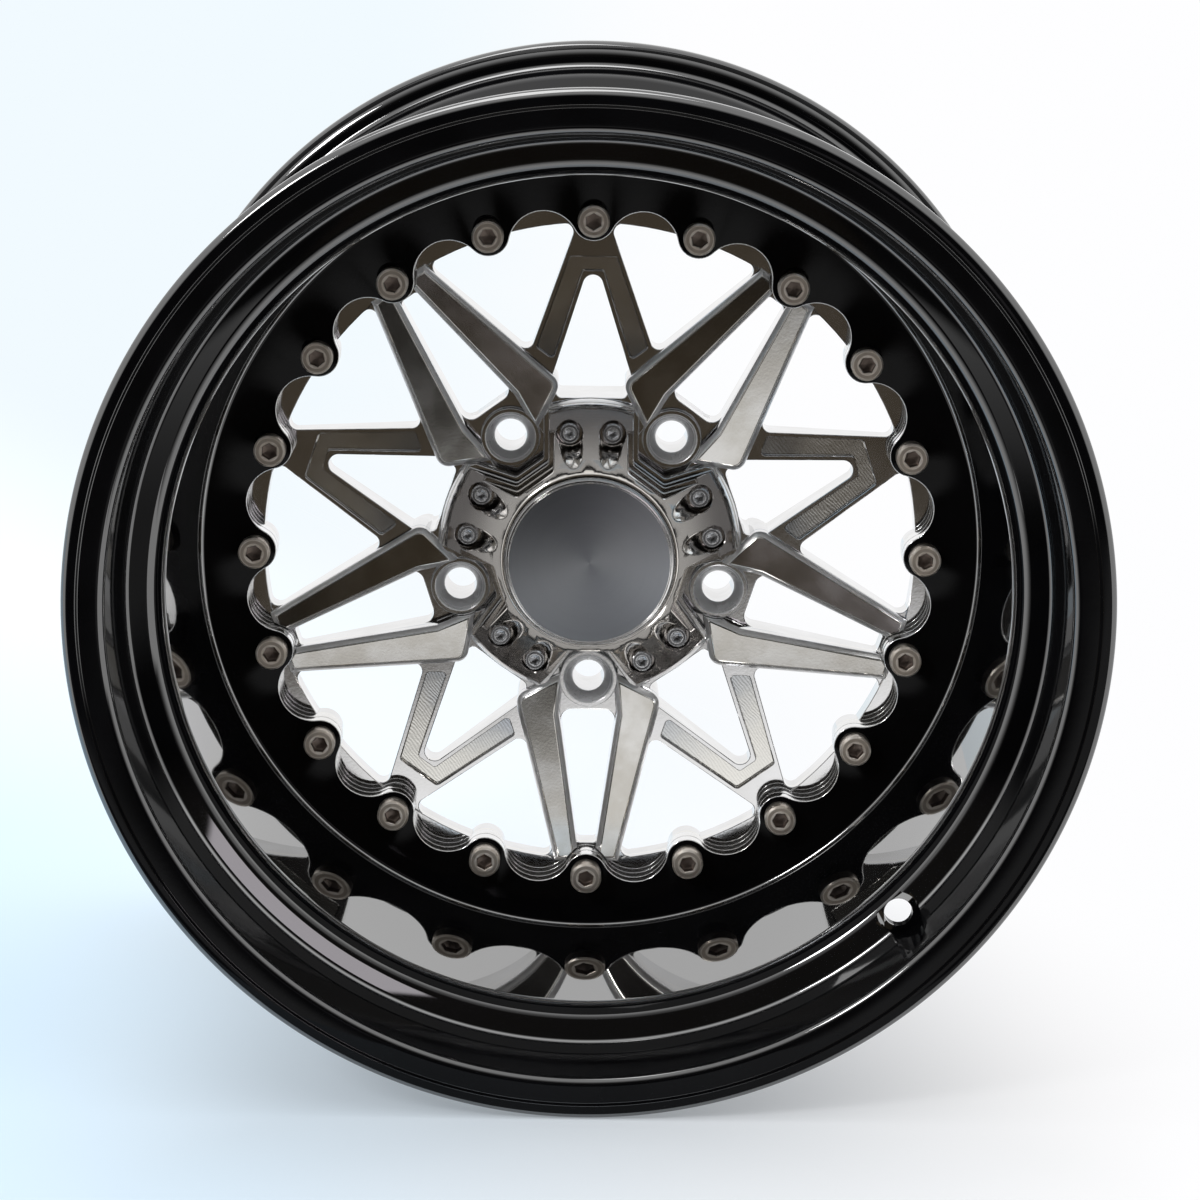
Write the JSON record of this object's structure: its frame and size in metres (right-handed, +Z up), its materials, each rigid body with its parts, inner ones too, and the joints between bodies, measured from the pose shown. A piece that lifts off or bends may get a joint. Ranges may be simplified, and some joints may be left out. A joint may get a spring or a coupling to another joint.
{
  "type": "off-road wheel",
  "caption": "Bolted deep-dish off-road wheel: gloss black stepped lip and barrel on a machined split-spoke centre with lug seats, hub screws and a turned centre cap.",
  "frame": {"origin": "on the wheel's axis, in the plane of the hub mounting face", "axes": "+Y along the axle towards the vehicle, -Y out of the front of the wheel, +Z up, +X to the right seen from the front"},
  "size_m": [0.402, 0.286, 0.402],
  "materials": {
    "gloss_black": "gloss black powder coat, scalloped edge machined bare",
    "barrel_black": "gloss black powder coat outside, bare metal inside",
    "machined_aluminium": "milled and polished",
    "turned_aluminium": "turned",
    "screw_steel": "plain stainless",
    "dark_chrome": "dark bright plating",
    "seal_rubber": "matt"
  },
  "bodies": {
    "root": {"outer_lip": "gloss_black", "inner_barrel": "barrel_black", "rim_seal": "seal_rubber", "wheel_centre": "machined_aluminium", "rim_screws": "screw_steel", "hub_screws": "dark_chrome", "centre_cap": "turned_aluminium", "cap_ring": "seal_rubber"}
  },
  "joints": []
}
